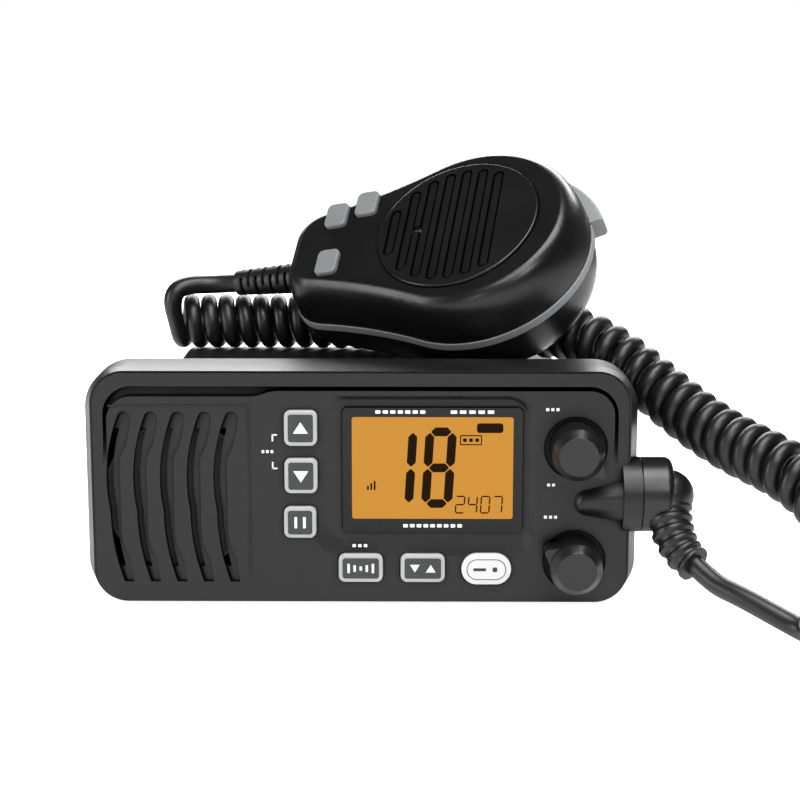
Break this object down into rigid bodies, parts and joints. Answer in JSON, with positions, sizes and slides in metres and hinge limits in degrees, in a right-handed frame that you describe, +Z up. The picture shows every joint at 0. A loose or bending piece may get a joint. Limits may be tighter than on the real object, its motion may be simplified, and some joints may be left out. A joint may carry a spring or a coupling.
{
  "type": "vhf marine radio",
  "caption": "Fixed-mount marine radio with amber display, louvred speaker, knobs and keys, and a hand microphone on a curly cord lying on top.",
  "frame": {"origin": "middle of the middle standing rib on the underside, at the level the radio stands on", "axes": "+X to the right seen from the front, +Y to the back, +Z up"},
  "size_m": [0.259, 0.2008, 0.1438],
  "materials": {
    "panel_plastic": "fine satin texture",
    "seal_rubber": "matt",
    "chassis_metal": "fine powder coat",
    "window": "clear tinted, polished",
    "display": "amber, lit",
    "white_plastic": "satin",
    "key_rubber": "matt with a pale rim",
    "oval_key_rubber": "matt",
    "board": "solder mask",
    "knob_plastic": "satin",
    "steel": "plain",
    "brass": "nickel plated",
    "speaker_cloth": "fine mesh",
    "speaker_steel": "plain",
    "speaker_paper": "fibrous",
    "cap_rubber": "matt",
    "cap_plastic": "satin",
    "cord_rubber": "matt",
    "tinplate": "bright",
    "module_black": "plain",
    "ribbon": "plain",
    "socket_metal": "nickel plated",
    "mic_plastic": "fine satin texture",
    "grey_rubber": "matt",
    "grille_plastic": "satin",
    "mic_key_rubber": "matt"
  },
  "bodies": {
    "radio": {"front_panel": "panel_plastic", "panel_gasket": "seal_rubber", "chassis": "chassis_metal", "chassis_flange": "chassis_metal", "display_window": "window", "display_glass": "display", "display_light_tray": "white_plastic", "key_mat": "seal_rubber", "front_board": "board", "volume_control": "steel", "squelch_control": "steel", "control_nuts": "brass", "control_seals": "seal_rubber", "panel_screws": "steel", "front_board_screws": "steel", "speaker_membrane": "speaker_cloth", "speaker_basket": "speaker_steel", "speaker_cone": "speaker_paper", "speaker_magnet": "speaker_steel", "port_insert": "brass", "port_seal": "cap_rubber", "plug_cap": "cap_plastic", "elbow_boot": "cord_rubber", "main_board": "board", "board_screws": "steel", "rf_shield": "tinplate", "power_module": "module_black", "ribbon_cable": "ribbon", "antenna_socket": "socket_metal", "power_gland": "seal_rubber", "accessory_gland": "seal_rubber", "curly_cord": "cord_rubber", "mic_lead": "cord_rubber", "radio_lead": "cord_rubber"},
    "up_key": {"up_key": "key_rubber"},
    "down_key": {"down_key": "key_rubber"},
    "side_key": {"side_key": "key_rubber"},
    "left_key": {"left_key": "key_rubber"},
    "middle_key": {"middle_key": "key_rubber"},
    "oval_key": {"oval_key": "oval_key_rubber"},
    "mic_up_key": {"mic_up_key": "mic_key_rubber"},
    "mic_down_key": {"mic_down_key": "mic_key_rubber"},
    "mic_low_key": {"mic_low_key": "mic_key_rubber"},
    "talk_bar": {"talk_bar": "grey_rubber"},
    "volume": {"volume_knob": "knob_plastic", "volume_shaft": "steel"},
    "squelch": {"squelch_knob": "knob_plastic", "squelch_shaft": "steel"},
    "microphone": {"mic_front_shell": "mic_plastic", "mic_back_shell": "mic_plastic", "mic_band": "grey_rubber", "mic_grille": "grille_plastic", "mic_board": "board", "mic_key_mat": "grey_rubber", "mic_capsule": "tinplate", "talk_pin": "steel", "talk_switch": "module_black", "mic_screws": "steel", "mic_boot": "cord_rubber"}
  },
  "joints": [
    {"name": "up_key_press", "type": "slide", "parent": "radio", "child": "up_key", "axis": [0, 1, 0], "range_m": [0, 0.0008], "stiffness_N_per_m": 600},
    {"name": "down_key_press", "type": "slide", "parent": "radio", "child": "down_key", "axis": [0, 1, 0], "range_m": [0, 0.0008], "stiffness_N_per_m": 600},
    {"name": "side_key_press", "type": "slide", "parent": "radio", "child": "side_key", "axis": [0, 1, 0], "range_m": [0, 0.0008], "stiffness_N_per_m": 600},
    {"name": "left_key_press", "type": "slide", "parent": "radio", "child": "left_key", "axis": [0, 1, 0], "range_m": [0, 0.0008], "stiffness_N_per_m": 600},
    {"name": "middle_key_press", "type": "slide", "parent": "radio", "child": "middle_key", "axis": [0, 1, 0], "range_m": [0, 0.0008], "stiffness_N_per_m": 600},
    {"name": "oval_key_press", "type": "slide", "parent": "radio", "child": "oval_key", "axis": [0, 1, 0], "range_m": [0, 0.0008], "stiffness_N_per_m": 600},
    {"name": "mic_up_key_press", "type": "slide", "parent": "microphone", "child": "mic_up_key", "axis": [0.3397, 0.559, -0.7564], "range_m": [0, 0.0008], "stiffness_N_per_m": 600},
    {"name": "mic_down_key_press", "type": "slide", "parent": "microphone", "child": "mic_down_key", "axis": [0.3397, 0.559, -0.7564], "range_m": [0, 0.0008], "stiffness_N_per_m": 600},
    {"name": "mic_low_key_press", "type": "slide", "parent": "microphone", "child": "mic_low_key", "axis": [0.3397, 0.559, -0.7564], "range_m": [0, 0.0008], "stiffness_N_per_m": 600},
    {"name": "talk_bar_press", "type": "hinge", "parent": "microphone", "child": "talk_bar", "pos_m": [0.07855, 0.00688, 0.11927], "axis": [-0.3397, -0.559, 0.7564], "range_deg": [0, 2.2], "stiffness_Nm_per_rad": 0.6},
    {"name": "volume_turn", "type": "hinge", "parent": "radio", "child": "volume", "pos_m": [0.0701, -0.06, 0.0536], "axis": [0, -1, 0], "range_deg": [-19, 281]},
    {"name": "squelch_turn", "type": "hinge", "parent": "radio", "child": "squelch", "pos_m": [0.0701, -0.06, 0.0157], "axis": [0, -1, 0], "range_deg": [-211, 89]},
    {"name": "microphone_lift", "type": "slide", "parent": "radio", "child": "microphone", "axis": [0, 0, 1], "range_m": [0, 0.06]}
  ]
}
